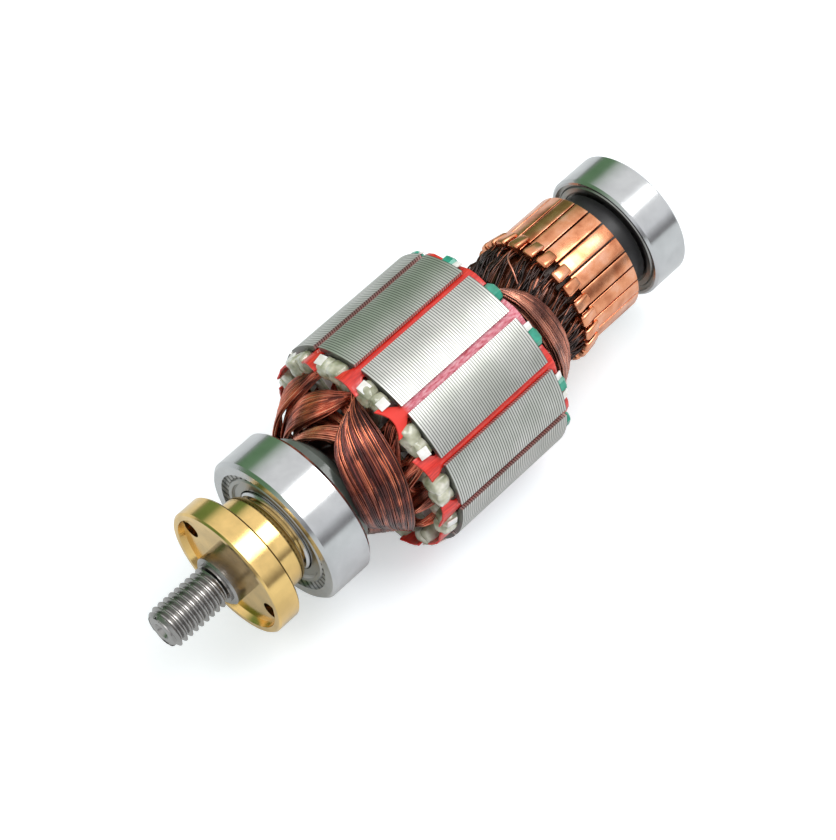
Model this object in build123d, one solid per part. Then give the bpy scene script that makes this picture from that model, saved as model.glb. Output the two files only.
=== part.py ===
from build123d import *
from math import acos, atan2, cos, degrees, radians, sin, tan
import os

# Motor rotor, in millimetres.
# The shaft lies along X, with its threaded end at -X and its commutator at +X.
# The origin is on the shaft's axis, half way along the front bearing. +Z is up.
# An angle about the shaft is counted from +Z towards -Y.

# Shaft
SHAFT_D = 10.0
CORE_D = 12.0
THREAD_D = 8.0
SHOULDER_D = 9.2
THREAD_LENGTH = 12.7
COLLAR_OVERHANG = 2.3
TIP_BEVEL = 0.8
END_BEVEL = 0.6
CENTRE_HOLE_D = 1.9
CENTRE_HOLE_MOUTH_D = 3.2
CENTRE_HOLE_DEPTH = 4.0
CENTRE_HOLE_TAPER = 1.7
SHAFT_REAR_OVERHANG = 1.85

# Front bearing
FRONT_BEARING_D = 30.0
FRONT_BEARING_WIDTH = 9.0
FRONT_BALL_COUNT = 8
FRONT_INNER_WALL = 3.45
FRONT_OUTER_WALL = 2.9
FRONT_SEAT_STEP = 0.5
FRONT_CRIMP = 1.2
FRONT_BAND = 1.0
FRONT_BEVEL = 0.6

# Rear bearing
REAR_BEARING_D = 26.0
REAR_BEARING_WIDTH = 8.0
REAR_BALL_COUNT = 7
REAR_INNER_WALL = 2.5
REAR_OUTER_WALL = 2.0
REAR_SEAT_STEP = 1.1
REAR_CRIMP = 0.7
REAR_BAND = 1.2
REAR_BEVEL = 0.45

# Both bearings
BALL_D = 4.762
RACE_CLEARANCE = 0.08
SHIELD_CLEARANCE = 0.2
SHIELD_SHEET = 0.3
SHIELD_DEPTH = 1.0
INNER_RING_BEVEL = 0.35
CAGE_THICKNESS = 1.3
CAGE_WIDTH = 5.6
POCKET_CLEARANCE = 0.1

# Brass collar in front of the front bearing
COLLAR_D = 26.2
COLLAR_THICKNESS = 4.8
COLLAR_RECESS_D = 22.8
COLLAR_RECESS_DEPTH = 1.15
COLLAR_EDGE = 0.35
NECK_D = 18.4
NECK_LENGTH = 5.85
NECK_ROUND = 1.7
BOSS_D = 14.0
BOSS_LENGTH = 0.5
SPANNER_HOLE_D = 3.35
SPANNER_HOLE_PITCH_D = 19.5
SPANNER_HOLE_DEPTH = 2.6
SPANNER_HOLE_ANGLE = 112.0

# Lamination stack
STACK_D = 43.0
LAMINATION = 0.5
LAMINATION_COUNT = 53
FRONT_HEAD_LENGTH = 15.55
SLOT_COUNT = 12
TOOTH_WIDTH = 3.6
SLOT_BOTTOM_D = 21.0
SLOT_OPENING = 1.6
TOOTH_LIP = 0.8
TOOTH_SHOULDER = 1.0

# Slot insulation
LINER = 0.3
LINER_OVERHANG = 1.2
WEDGE_THICKNESS = 0.45
WEDGE_FRONT_OVERHANG = 3.0
WEDGE_REAR_OVERHANG = 1.6
PLAY = 0.05

# End insulators
FRONT_PLATE = 1.5
REAR_PLATE = 1.2
LUG_LENGTH = 2.0
REAR_LUG_LENGTH = 0.8
LUG_HEIGHT = 3.0
LUG_BEVEL = 0.4
FINGER_MARGIN = 0.5
FINGER_ROOT = 1.0
HUB_D = 14.0

# Windings
LAYER_FLOOR_GAP = 0.4
LAYER_GAP = 0.35
LAYER_TOP_GAP = 0.2
LOOP_D = 17.5
BAND_WIDTH = 3.2
PENULTIMATE_LOOP_D = 20.0
PENULTIMATE_WIDTH = 4.0
BAND_OVERRUN = 0.9
HEAD_CLEARANCE = 0.15
COIL_SPAN = 5
FRONT_BUNDLE_LENGTH = 5.4
REAR_BUNDLE_LENGTH = 4.9
REAR_HEAD_LENGTH = 11.85
BUNDLE_THICKNESS = 2.2
BUNDLE_EDGE = 0.8
SIDE_OVERHANG = 1.9

# Spacer behind the front bearing
DOME_D = 22.8
DOME_LENGTH = 2.0
DOME_ROUND = 2.9
DOME_FULLNESS = 0.6

# Commutator
BAR_COUNT = 24
TRACK_D = 25.0
BAR_THICKNESS = 1.9
BAR_GAP = 0.3
BAR_ANGLE = 14.13
BAR_LENGTH = 14.8
HEAD_TO_BARS = 2.5
HOOK_WIDTH = 2.0
HOOK_LENGTH = 3.5
HOOK_HEIGHT = 1.0
HOOK_SHEET = 0.55
LEAD_D = 0.9
LEAD_FOOT_D = 21.0
SPACER_D = 19.6
SPACER_LENGTH = 4.35
SEAT_LENGTH = 0.1

# The loose bundles of the winding heads, laid flat round the shaft.
# Each row: the angle from the coil's first slot, then the edge furthest from the stack and the edge nearest
# to it, as (depth, height): depth from the stack's face, height above the floor of the slots' outer layer.
BIG_BUNDLE = [
    (8, (5.6, -0.9), (1.9, 1.4)),
    (25, (11.2, -1.3), (3.4, 2.2)),
    (50, (13.2, -1.7), (4.4, 2.8)),
    (75, (13.8, -1.7), (5.6, 3.0)),
    (100, (13.4, -1.1), (6.0, 3.2)),
    (122, (11.4, 0.2), (5.0, 3.3)),
    (138, (6.8, 1.0), (3.6, 2.4)),
]
SLIM_BUNDLE = [
    (12, (4.6, 0.2), (2.2, 2.0)),
    (30, (8.8, -0.9), (4.2, 2.0)),
    (50, (10.8, -1.9), (6.4, 0.9)),
    (75, (11.6, -2.1), (7.4, 0.7)),
    (100, (10.8, -1.9), (6.4, 0.9)),
    (120, (8.8, -0.9), (4.2, 2.0)),
    (138, (4.6, 0.2), (2.2, 2.0)),
]
REAR_BUNDLE = [
    (15, (6.0, -0.5), (3.2, 1.8)),
    (35, (9.2, -1.7), (4.6, 1.3)),
    (75, (10.4, -2.5), (5.4, 0.7)),
    (115, (9.2, -1.7), (4.6, 1.3)),
    (135, (6.0, -0.5), (3.2, 1.8)),
]

# The space that the inner coils fill, by (depth from the stack's face, depth below the stack's surface).
FRONT_FILL = [(0, 2.0), (2, 2.8), (4, 4.4), (11.5, 7.2), (15, 8.2)]
REAR_FILL = [(0, 2.0), (2.5, 4.6), (8, 7.6), (11.85, 8.6)]

# Places along the shaft
FRONT_FACE = -FRONT_BEARING_WIDTH / 2
FRONT_BACK = FRONT_BEARING_WIDTH / 2
NECK_END = FRONT_FACE - BOSS_LENGTH
FLANGE_BACK = NECK_END - NECK_LENGTH
FLANGE_FACE = FLANGE_BACK - COLLAR_THICKNESS
SHAFT_SHOULDER = FLANGE_FACE - COLLAR_OVERHANG
SHAFT_TIP = SHAFT_SHOULDER - THREAD_LENGTH
STACK_FRONT = FRONT_BACK + FRONT_HEAD_LENGTH
STACK_REAR = STACK_FRONT + LAMINATION * LAMINATION_COUNT
HEAD_REAR = STACK_REAR + REAR_HEAD_LENGTH
BARS_FRONT = HEAD_REAR + HEAD_TO_BARS
BARS_REAR = BARS_FRONT + BAR_LENGTH
REAR_FACE = BARS_REAR + SPACER_LENGTH + SEAT_LENGTH
REAR_BACK = REAR_FACE + REAR_BEARING_WIDTH
SHAFT_END = REAR_BACK + SHAFT_REAR_OVERHANG
CORE_FRONT = STACK_FRONT - FRONT_PLATE

SLOT_PITCH = 360 / SLOT_COUNT
HALF_PITCH = SLOT_PITCH / 2

# Heights above the axis in a slot
SLOT_SHOULDER = STACK_D / 2 - TOOTH_LIP - TOOTH_SHOULDER
LINER_TOP = SLOT_SHOULDER - WEDGE_THICKNESS - LINER
LAYER_FLOOR = SLOT_BOTTOM_D / 2 + LINER + LAYER_FLOOR_GAP
LAYER_HEIGHT = (LINER_TOP - LAYER_TOP_GAP - LAYER_FLOOR - LAYER_GAP) / 2


def turned(*points):
    """A solid turned about the shaft from an outline of (x, radius) points."""
    return revolve(make_face(Polyline(*points, close=True)), axis=Axis.X)


def ring(start, end, bore_d, outer_d, bevel):
    """A turned ring with both outer edges bevelled."""
    inner = bore_d / 2
    outer = outer_d / 2
    return turned(
        (start, inner),
        (start, outer - bevel),
        (start + bevel, outer),
        (end - bevel, outer),
        (end, outer - bevel),
        (end, inner),
    )


def tube(start, end, bore_d, outer_d):
    """A plain round tube, or a bar where the bore is 0."""
    return turned(
        (start, bore_d / 2),
        (start, outer_d / 2),
        (end, outer_d / 2),
        (end, bore_d / 2),
    )


def around(shape, angle):
    """The shape turned about the shaft."""
    return shape.rotate(Axis.X, angle)


def at(angle, radius):
    """A point of the cross-section, as (y, z)."""
    return (-radius * sin(radians(angle)), radius * cos(radians(angle)))


def prism(start, end, *points):
    """A cross-section of (y, z) points, carried along the shaft from start to end."""
    outline = make_face(Plane.YZ * Polyline(*points, close=True))
    return Pos(start, 0, 0) * extrude(outline, amount=end - start, dir=(1, 0, 0))


def mirrored(points):
    """Points of the right half of an outline, followed by the left half's."""
    return list(points) + [(-y, z) for y, z in reversed(points)]


def slot_side(radius):
    """Half the slot's width at this height above the axis, beside a straight-sided tooth."""
    half_tooth = TOOTH_WIDTH / 2 / cos(radians(HALF_PITCH))
    return radius * tan(radians(HALF_PITCH)) - half_tooth


def centre_hole(mouth, direction):
    """The lathe centre's countersunk hole in an end of the shaft."""
    hole = CENTRE_HOLE_D / 2
    rim = CENTRE_HOLE_MOUTH_D / 2
    return turned(
        (mouth, 0),
        (mouth, rim),
        (mouth + direction * (rim - hole) * CENTRE_HOLE_TAPER, hole),
        (mouth + direction * CENTRE_HOLE_DEPTH, hole),
        (mouth + direction * (CENTRE_HOLE_DEPTH + hole / 2), 0),
    )


def shaft():
    """The steel shaft: thread blank, bearing seats, core and both centre holes."""
    thread = THREAD_D / 2
    seat = SHAFT_D / 2
    core = CORE_D / 2
    shoulder = SHOULDER_D / 2
    body = turned(
        (SHAFT_TIP, 0),
        (SHAFT_TIP, thread - TIP_BEVEL),
        (SHAFT_TIP + TIP_BEVEL, thread),
        (SHAFT_SHOULDER, thread),
        (SHAFT_SHOULDER, shoulder),
        (SHAFT_SHOULDER + seat - shoulder, seat),
        (CORE_FRONT, seat),
        (CORE_FRONT, core),
        (HEAD_REAR, core),
        (HEAD_REAR, seat),
        (SHAFT_END - END_BEVEL, seat),
        (SHAFT_END, seat - END_BEVEL),
        (SHAFT_END, 0),
    )
    return body - centre_hole(SHAFT_TIP, 1) - centre_hole(SHAFT_END, -1)


def collar():
    """The brass collar: recessed flange with two spanner holes, rounded neck and seating boss."""
    rim = COLLAR_D / 2
    neck = NECK_D / 2
    floor = FLANGE_FACE + COLLAR_RECESS_DEPTH
    outline = [
        Polyline(
            (NECK_END, BOSS_D / 2),
            (FRONT_FACE, BOSS_D / 2),
            (FRONT_FACE, SHAFT_D / 2),
            (floor, SHAFT_D / 2),
            (floor, COLLAR_RECESS_D / 2),
            (FLANGE_FACE, COLLAR_RECESS_D / 2 + COLLAR_EDGE),
            (FLANGE_FACE, rim - COLLAR_EDGE),
            (FLANGE_FACE + COLLAR_EDGE, rim),
            (FLANGE_BACK - COLLAR_EDGE, rim),
            (FLANGE_BACK, rim - COLLAR_EDGE),
            (FLANGE_BACK, neck),
            (NECK_END - NECK_ROUND, neck),
        ),
        RadiusArc((NECK_END - NECK_ROUND, neck), (NECK_END, neck - NECK_ROUND), NECK_ROUND),
        Line((NECK_END, neck - NECK_ROUND), (NECK_END, BOSS_D / 2)),
    ]
    body = revolve(make_face(outline), axis=Axis.X)
    hole = Cylinder(SPANNER_HOLE_D / 2, 2 * SPANNER_HOLE_DEPTH, rotation=(0, 90, 0))
    for side in (0, 180):
        spot = Pos(floor, 0, SPANNER_HOLE_PITCH_D / 2) * hole
        body -= around(spot, SPANNER_HOLE_ANGLE + side)
    return body


def race(middle, pitch_d):
    """The ring of space that the balls roll through."""
    groove = Pos(middle, pitch_d / 2) * Circle(BALL_D / 2 + RACE_CLEARANCE)
    return revolve(groove, axis=Axis.X)


def outer_ring(start, end, outer_d, wall, seat_step, pitch_d, bevel):
    """A bearing's outer ring, with a seat for a shield at each face and the balls' groove."""
    shoulder_d = outer_d - 2 * wall
    seat_d = shoulder_d + 2 * seat_step
    body = ring(start, end, shoulder_d, outer_d, bevel)
    body -= tube(start, start + SHIELD_DEPTH, 0, seat_d)
    body -= tube(end - SHIELD_DEPTH, end, 0, seat_d)
    return body - race((start + end) / 2, pitch_d)


def inner_ring(start, end, outer_d, pitch_d):
    """A bearing's inner ring, with the balls' groove."""
    body = ring(start, end, SHAFT_D, outer_d, INNER_RING_BEVEL)
    return body - race((start + end) / 2, pitch_d)


def shield(face, inward, seat, crimp, band, lip):
    """A pressed sheet shield, by radii: crimped rim, raised band and dished middle."""
    back = face + inward * SHIELD_DEPTH
    front = back - inward * SHIELD_SHEET
    raised = face + inward * SHIELD_SHEET
    return turned(
        (back, seat),
        (front, seat),
        (front, crimp),
        (raised, crimp - SHIELD_SHEET),
        (raised, band),
        (front, band - SHIELD_SHEET),
        (front, lip),
        (back, lip),
        (back, band - 2 * SHIELD_SHEET),
        (raised + inward * SHIELD_SHEET, band - SHIELD_SHEET),
        (raised + inward * SHIELD_SHEET, crimp - 2 * SHIELD_SHEET),
        (back, crimp - SHIELD_SHEET),
    )


def shields(start, end, *radii):
    """The two shields of a bearing."""
    return Compound(children=[shield(start, 1, *radii), shield(end, -1, *radii)])


def balls(middle, pitch_d, count):
    """A bearing's balls, evenly spaced."""
    ball = Pos(middle, 0, pitch_d / 2) * Sphere(BALL_D / 2)
    return Compound(children=[around(ball, 360 * i / count) for i in range(count)])


def cage(middle, pitch_d, count):
    """The ring that keeps the balls apart, with a round pocket for each."""
    half = CAGE_WIDTH / 2
    bore = pitch_d - CAGE_THICKNESS
    outer = pitch_d + CAGE_THICKNESS
    body = tube(middle - half, middle + half, bore, outer)
    pocket = Pos(middle, 0, pitch_d / 2) * Cylinder(BALL_D / 2 + POCKET_CLEARANCE, BALL_D)
    for i in range(count):
        body -= around(pocket, 360 * i / count)
    return body


def front_spacer():
    """The domed spacer and sleeve between the front bearing and the stack."""
    bore = SHAFT_D / 2
    dome = DOME_D / 2
    hub = HUB_D / 2
    face = FRONT_BACK + BOSS_LENGTH
    dome_end = face + DOME_LENGTH
    sleeve = dome_end + DOME_ROUND
    outline = [
        Polyline(
            (dome_end, dome),
            (face, dome),
            (face, BOSS_D / 2),
            (FRONT_BACK, BOSS_D / 2),
            (FRONT_BACK, bore),
            (CORE_FRONT, bore),
            (CORE_FRONT, hub),
            (sleeve, hub),
        ),
        ThreePointArc(
            (sleeve, hub),
            (dome_end + DOME_ROUND * DOME_FULLNESS, hub + (dome - hub) * DOME_FULLNESS),
            (dome_end, dome),
        ),
    ]
    return revolve(make_face(outline), axis=Axis.X)


def slot_outline():
    """The slot's outline above the axis, with its lips and its open mouth."""
    bottom = SLOT_BOTTOM_D / 2
    lip = STACK_D / 2 - TOOTH_LIP
    mouth = SLOT_OPENING / 2
    return [
        (slot_side(bottom), bottom),
        (slot_side(SLOT_SHOULDER), SLOT_SHOULDER),
        (mouth, lip),
        (mouth, STACK_D / 2 + TOOTH_LIP),
    ]


def lamination_stack():
    """The stack of laminations, pressed together: straight teeth with lips and round slots' mouths."""
    body = tube(STACK_FRONT, STACK_REAR, CORE_D, STACK_D)
    slot = prism(STACK_FRONT, STACK_REAR, *mirrored(slot_outline()))
    for i in range(SLOT_COUNT):
        body -= around(slot, SLOT_PITCH * i)
    return body


def end_insulator(face, outward, plate, lug):
    """A star plate over the teeth, with a hub sleeve and a lug at each tooth's tip."""
    back = face + outward * plate
    top = back + outward * lug
    tip = STACK_D / 2 - FINGER_MARGIN
    half = TOOTH_WIDTH / 2
    bottom = SLOT_BOTTOM_D / 2
    body = tube(min(face, back), max(face, back), CORE_D, SLOT_BOTTOM_D)
    finger = prism(
        min(face, back),
        max(face, back),
        *mirrored([(half, bottom - FINGER_ROOT), (half, tip - half / 2), (half / 2, tip)]),
    )
    block = prism(
        min(face, top),
        max(face, top),
        *mirrored([(half, tip - LUG_HEIGHT), (half, tip - half / 2), (half / 2, tip)]),
    )
    outer_edges = block.faces().sort_by(Axis.X)[-1 if outward > 0 else 0].edges()
    finger += chamfer(outer_edges, LUG_BEVEL)
    for i in range(SLOT_COUNT):
        body += around(finger, SLOT_PITCH * i + HALF_PITCH)
    return body


def rear_hub():
    """The sleeve of the rear insulator, under the rear winding head."""
    return tube(STACK_REAR, HEAD_REAR, CORE_D, HUB_D)


def slot_liners():
    """The folded insulating paper in each slot."""
    start = STACK_FRONT - LINER_OVERHANG
    end = STACK_REAR + LINER_OVERHANG
    bottom = SLOT_BOTTOM_D / 2
    outer = mirrored([(slot_side(bottom), bottom), (slot_side(LINER_TOP), LINER_TOP)])
    inner = mirrored(
        [
            (slot_side(bottom + LINER) - LINER, bottom + LINER),
            (slot_side(LINER_TOP) - LINER, LINER_TOP),
        ]
    )
    liner = prism(start, end, *outer) - prism(start, end, *inner)
    return Compound(children=[around(liner, SLOT_PITCH * i) for i in range(SLOT_COUNT)])


def slot_wedge():
    """The strip that closes a slot, bent to lie under the tooth lips."""
    side = slot_side(SLOT_SHOULDER) - 4 * PLAY
    mouth = SLOT_OPENING / 2
    outer = [(side, SLOT_SHOULDER - 3 * PLAY), (mouth, SLOT_SHOULDER + TOOTH_SHOULDER - 3 * PLAY)]
    inner = [(y, z - WEDGE_THICKNESS) for y, z in outer]
    points = outer + [(-y, z) for y, z in reversed(outer)] + [(-y, z) for y, z in inner]
    points += list(reversed(inner))
    return prism(STACK_FRONT - WEDGE_FRONT_OVERHANG, STACK_REAR + WEDGE_REAR_OVERHANG, *points)


def layer_floor(layer):
    """The radius at which a slot's layer of wire starts: layer 0 is the inner one."""
    return LAYER_FLOOR + layer * (LAYER_HEIGHT + LAYER_GAP)


def coil_side(layer, start, end):
    """One side of a coil, filling its layer of a slot."""
    low = layer_floor(layer)
    high = low + LAYER_HEIGHT
    margin = LINER + PLAY
    return prism(
        start,
        end,
        *mirrored([(slot_side(low) - margin, low), (slot_side(high) - margin, high)]),
    )


def end_band(start, end, first, first_layer, last, last_layer, loop_d, width):
    """A coil's end turn: straight from one slot to the hub, round it, and straight to the other."""
    radius = loop_d / 2
    half = width / 2
    first_r = layer_floor(first_layer) + LAYER_HEIGHT / 2
    last_r = layer_floor(last_layer) + LAYER_HEIGHT / 2
    enter = first + degrees(acos(radius / first_r))
    leave = last - degrees(acos(radius / last_r))
    middle = (enter + leave) / 2

    def beside(angle, distance, normal_angle, offset, run):
        y, z = at(angle, distance)
        across = at(normal_angle, offset)
        along = at(normal_angle + 90, run)
        return (y + across[0] + along[0], z + across[1] + along[1])

    first_outer = beside(first, first_r, enter, half, -BAND_OVERRUN)
    first_inner = beside(first, first_r, enter, -half, -BAND_OVERRUN)
    last_outer = beside(last, last_r, leave, half, BAND_OVERRUN)
    last_inner = beside(last, last_r, leave, -half, BAND_OVERRUN)
    outer = radius + half
    inner = radius - half
    outline = [
        Polyline(at(enter, inner), first_inner, first_outer, at(enter, outer)),
        ThreePointArc(at(enter, outer), at(middle, outer), at(leave, outer)),
        Polyline(at(leave, outer), last_outer, last_inner, at(leave, inner)),
        ThreePointArc(at(leave, inner), at(middle, inner), at(enter, inner)),
    ]
    face = make_face([Plane.YZ * line for line in outline])
    return Pos(start, 0, 0) * extrude(face, amount=end - start, dir=(1, 0, 0))


def flat_section(far, near, thickness):
    """A flat bundle's section above the axis, between its two edges, with thin rims."""
    edge = Vector(near[0] - far[0], near[1] - far[1])
    along = edge.normalized()
    across = Vector(-along.Y, along.X) * thickness / 2
    low = Vector(*far)
    high = Vector(*near)
    rim = along * BUNDLE_EDGE
    corners = [low, low + rim + across, high - rim + across, high, high - rim - across, low + rim - across]
    return make_face(Plane.XZ * Polyline(*[(c.X, c.Y) for c in corners], close=True))


def flat_bundle(face, outward, plate, first, rows):
    """A bundle laid flat round a winding head, from the slot at first to the coil's other slot."""
    base = layer_floor(1)
    mouth = (0, (SIDE_OVERHANG, LAYER_GAP), (plate + HEAD_CLEARANCE, LAYER_HEIGHT - LAYER_GAP))
    span = SLOT_PITCH * COIL_SPAN
    sections = []
    for angle, far, near in [mouth, *rows, (span, *mouth[1:])]:
        ends = [(face + outward * depth, base + height) for depth, height in (far, near)]
        sections.append(around(flat_section(*ends, BUNDLE_THICKNESS), first + angle))
    return loft(sections, ruled=True)


def head_envelope():
    """The space that the inner coils fill: it lies within the bundles that are laid over them."""
    reach = STACK_D / 2
    front = [(STACK_FRONT - depth, reach - sunk) for depth, sunk in reversed(FRONT_FILL)]
    rear = [(STACK_REAR + depth, reach - sunk) for depth, sunk in REAR_FILL]
    return turned((front[0][0], 0), *front, *rear, (rear[-1][0], 0))


def inner_coil(level, side):
    """A coil of wire, the level-th pair wound, its two sides five slots apart."""
    last_level = SLOT_COUNT // 2 - 1
    first = SLOT_PITCH * (last_level - level) + 180 * side
    last = first + SLOT_PITCH * COIL_SPAN
    first_layer = 0 if level == 0 else 1
    slots = (first, first_layer, last, 0)

    front_floor = STACK_FRONT - FRONT_PLATE - HEAD_CLEARANCE
    front_step = (front_floor - FRONT_BACK - FRONT_BUNDLE_LENGTH) / last_level
    rear_floor = STACK_REAR + REAR_PLATE + HEAD_CLEARANCE
    rear_step = (HEAD_REAR - REAR_BUNDLE_LENGTH - rear_floor) / last_level

    start = front_floor - front_step * (level + 1)
    end = rear_floor + rear_step * (level + 1)
    shape = (LOOP_D, BAND_WIDTH)
    if level == last_level - 1:
        shape = (PENULTIMATE_LOOP_D, PENULTIMATE_WIDTH)
    body = end_band(start, start + front_step, *slots, *shape)
    body += end_band(end - rear_step, end, *slots, *shape)
    body += around(coil_side(first_layer, start, end), first)
    body += around(coil_side(0, start, end), last)
    return body & head_envelope()


def outer_coil(side, front_rows):
    """One of the two coils wound last, whose bundles lie flat over the others."""
    first = 180 * side
    straight = coil_side(1, STACK_FRONT - SIDE_OVERHANG, STACK_REAR + SIDE_OVERHANG)
    body = around(straight, first) + around(straight, first + SLOT_PITCH * COIL_SPAN)
    body += flat_bundle(STACK_FRONT, -1, FRONT_PLATE, first, front_rows)
    return body + flat_bundle(STACK_REAR, 1, REAR_PLATE, first, REAR_BUNDLE)


def commutator_bar():
    """One copper bar with its hook, above the axis."""
    outer = TRACK_D / 2
    inner = outer - BAR_THICKNESS
    half = 180 / BAR_COUNT
    outer_edge = half - degrees(BAR_GAP / 2 / outer)
    inner_edge = half - degrees(BAR_GAP / 2 / inner)
    outline = [
        ThreePointArc(at(-outer_edge, outer), at(0, outer), at(outer_edge, outer)),
        Line(at(outer_edge, outer), at(inner_edge, inner)),
        ThreePointArc(at(inner_edge, inner), at(0, inner), at(-inner_edge, inner)),
        Line(at(-inner_edge, inner), at(-outer_edge, outer)),
    ]
    face = make_face([Plane.YZ * edge for edge in outline])
    start = BARS_FRONT + HOOK_SHEET
    bar = Pos(start, 0, 0) * extrude(face, amount=BARS_REAR - start, dir=(1, 0, 0))

    crown = outer + HOOK_HEIGHT
    under = crown - HOOK_SHEET
    root = outer - 2 * HOOK_SHEET
    tip = BARS_FRONT + HOOK_LENGTH
    hook = make_face(
        Plane.XZ
        * Polyline(
            (BARS_FRONT, root),
            (BARS_FRONT, under),
            (BARS_FRONT + HOOK_SHEET, crown),
            (BARS_FRONT + 3 * HOOK_SHEET, crown),
            (tip, outer + HOOK_SHEET / 2),
            (tip, outer),
            (tip - HOOK_SHEET, outer),
            (BARS_FRONT + 3 * HOOK_SHEET, under),
            (BARS_FRONT + HOOK_SHEET, under),
            (BARS_FRONT + HOOK_SHEET, root),
            close=True,
        )
    )
    return bar + extrude(hook, amount=HOOK_WIDTH / 2, both=True)


def commutator_bars():
    """All the commutator's bars."""
    bar = commutator_bar()
    pitch = 360 / BAR_COUNT
    return Compound(children=[around(bar, BAR_ANGLE + pitch * i) for i in range(BAR_COUNT)])


def commutator_hub():
    """The moulded hub that carries the bars."""
    bore = SHAFT_D / 2
    nose = HUB_D / 2
    outer = TRACK_D / 2 - BAR_THICKNESS
    return turned(
        (HEAD_REAR, bore),
        (HEAD_REAR, nose),
        (BARS_FRONT, nose),
        (BARS_FRONT, outer),
        (BARS_REAR, outer),
        (BARS_REAR, bore),
    )


def lead_wires():
    """The stretch of each lead between the winding head and its hook."""
    foot = HEAD_REAR - REAR_BUNDLE_LENGTH
    length = BARS_FRONT - foot
    rise = (TRACK_D - LEAD_FOOT_D) / 2
    lead = Cylinder(LEAD_D / 2, 2 * length, rotation=(0, 90 - degrees(atan2(rise, length)), 0))
    lead = Pos((foot + BARS_FRONT) / 2, 0, (TRACK_D + LEAD_FOOT_D) / 4) * lead
    lead &= tube(foot, BARS_FRONT, 0, TRACK_D + HOOK_HEIGHT)
    pitch = 360 / BAR_COUNT
    return Compound(children=[around(lead, BAR_ANGLE + pitch * i) for i in range(BAR_COUNT)])


def rear_spacer():
    """The black ring between the commutator and the rear bearing."""
    bore = SHAFT_D / 2
    return turned(
        (BARS_REAR, bore),
        (BARS_REAR, SPACER_D / 2),
        (REAR_FACE - SEAT_LENGTH, SPACER_D / 2),
        (REAR_FACE - SEAT_LENGTH, BOSS_D / 2),
        (REAR_FACE, BOSS_D / 2),
        (REAR_FACE, bore),
    )


def bearing(prefix, start, end, outer_d, outer_wall, inner_wall, seat_step, crimp, band, count, bevel):
    """A shielded ball bearing's pieces, by name."""
    middle = (start + end) / 2
    inner_d = SHAFT_D + 2 * inner_wall
    shoulder_d = outer_d - 2 * outer_wall
    pitch_d = (inner_d + shoulder_d) / 2
    seat = shoulder_d / 2 + seat_step
    radii = (seat, seat - crimp, seat - crimp - band, inner_d / 2 + SHIELD_CLEARANCE)
    return {
        prefix + "_outer_ring": outer_ring(start, end, outer_d, outer_wall, seat_step, pitch_d, bevel),
        prefix + "_inner_ring": inner_ring(start, end, inner_d, pitch_d),
        prefix + "_balls": balls(middle, pitch_d, count),
        prefix + "_cage": cage(middle, pitch_d, count),
        prefix + "_shields": shields(start, end, *radii),
    }


pieces = {
    "shaft": shaft(),
    "brass_collar": collar(),
    "front_spacer": front_spacer(),
    "lamination_stack": lamination_stack(),
    "front_insulator": end_insulator(STACK_FRONT, -1, FRONT_PLATE, LUG_LENGTH),
    "rear_insulator": end_insulator(STACK_REAR, 1, REAR_PLATE, REAR_LUG_LENGTH) + rear_hub(),
    "slot_liners": slot_liners(),
    "commutator_hub": commutator_hub(),
    "commutator_bars": commutator_bars(),
    "lead_wires": lead_wires(),
    "rear_spacer": rear_spacer(),
}
pieces |= bearing(
    "front",
    FRONT_FACE,
    FRONT_BACK,
    FRONT_BEARING_D,
    FRONT_OUTER_WALL,
    FRONT_INNER_WALL,
    FRONT_SEAT_STEP,
    FRONT_CRIMP,
    FRONT_BAND,
    FRONT_BALL_COUNT,
    FRONT_BEVEL,
)
pieces |= bearing(
    "rear",
    REAR_FACE,
    REAR_BACK,
    REAR_BEARING_D,
    REAR_OUTER_WALL,
    REAR_INNER_WALL,
    REAR_SEAT_STEP,
    REAR_CRIMP,
    REAR_BAND,
    REAR_BALL_COUNT,
    REAR_BEVEL,
)
for i in range(SLOT_COUNT):
    pieces[f"slot_wedge_{i + 1:02d}"] = around(slot_wedge(), SLOT_PITCH * i)
    if i < SLOT_COUNT - 2:
        pieces[f"coil_{i + 1:02d}"] = inner_coil(i // 2, i % 2)

for side, rows in enumerate((BIG_BUNDLE, SLIM_BUNDLE)):
    body = outer_coil(side, rows)
    for i in range(SLOT_COUNT - 2):
        body -= pieces[f"coil_{i + 1:02d}"]
    pieces[f"coil_{SLOT_COUNT - 1 + side:02d}"] = body

os.makedirs("parts", exist_ok=True)
for name, piece in pieces.items():
    export_step(piece, f"parts/{name}.step")
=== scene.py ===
# %% [markdown]
# # The wound rotor of a small commutator motor
# This file dresses a finished model of a motor rotor: a steel shaft with a thread, a brass collar, two ball
# bearings, a stack of laminations wound with copper wire, and a commutator. The solids come from a packed
# frame and are never moved. Some keep their shape and get a material here. Others are drawn again with
# more roundness, each in the place of the solid that it stands for.

# %% Load the frame
import math
import random

import bpy
from mathutils import Matrix, Vector


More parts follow.
